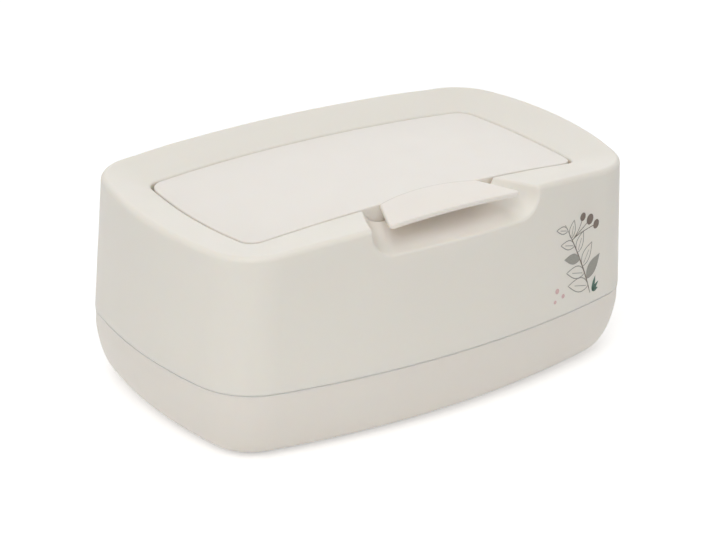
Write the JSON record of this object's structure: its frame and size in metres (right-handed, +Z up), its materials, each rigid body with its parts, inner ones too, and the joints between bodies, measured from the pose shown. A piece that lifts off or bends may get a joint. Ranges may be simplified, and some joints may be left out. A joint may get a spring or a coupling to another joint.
{
  "type": "baby wipes box",
  "caption": "Free-standing moulded plastic box for wipes: a lower tray, a lift-off upper housing, a flush hinged lid with a finger tab, and a loose weighted plate inside",
  "frame": {"origin": "On the surface the feet stand on, under the middle of the box's bounding box", "axes": "+X runs along the box to its right end as seen from the front, +Y to the rear where the lid is hinged, +Z up"},
  "size_m": [0.245, 0.156, 0.1029],
  "materials": {
    "housing_plastic": "satin warm off-white",
    "tray_plastic": "satin warm off-white",
    "lid_plastic": "satin warm off-white",
    "liner_plastic": "satin off-white",
    "plate_plastic": "matt pale grey",
    "seal_rubber": "matt pale silicone",
    "foot_rubber": "matt grey",
    "pin_steel": "drawn wire"
  },
  "bodies": {
    "base": {"base_tray": "tray_plastic", "foot_front_left": "foot_rubber", "foot_front_right": "foot_rubber", "foot_rear_left": "foot_rubber", "foot_rear_right": "foot_rubber", "body_seal": "seal_rubber"},
    "housing": {"upper_housing": "housing_plastic", "hinge_pin_left": "pin_steel", "hinge_pin_right": "pin_steel"},
    "lid": {"lid_panel": "lid_plastic", "lid_liner": "liner_plastic", "lid_seal": "seal_rubber"},
    "plate": {"weight_plate": "plate_plastic"}
  },
  "joints": [
    {"name": "housing_lift", "type": "slide", "parent": "base", "child": "housing", "axis": [0, 0, 1], "range_m": [0, 0.08]},
    {"name": "lid_hinge", "type": "hinge", "parent": "housing", "child": "lid", "pos_m": [0, 0.033, 0.0918], "axis": [-1, 0, 0], "range_deg": [0, 100]},
    {"name": "plate_lift", "type": "slide", "parent": "base", "child": "plate", "axis": [0, 0, 1], "range_m": [0, 0.06]}
  ]
}
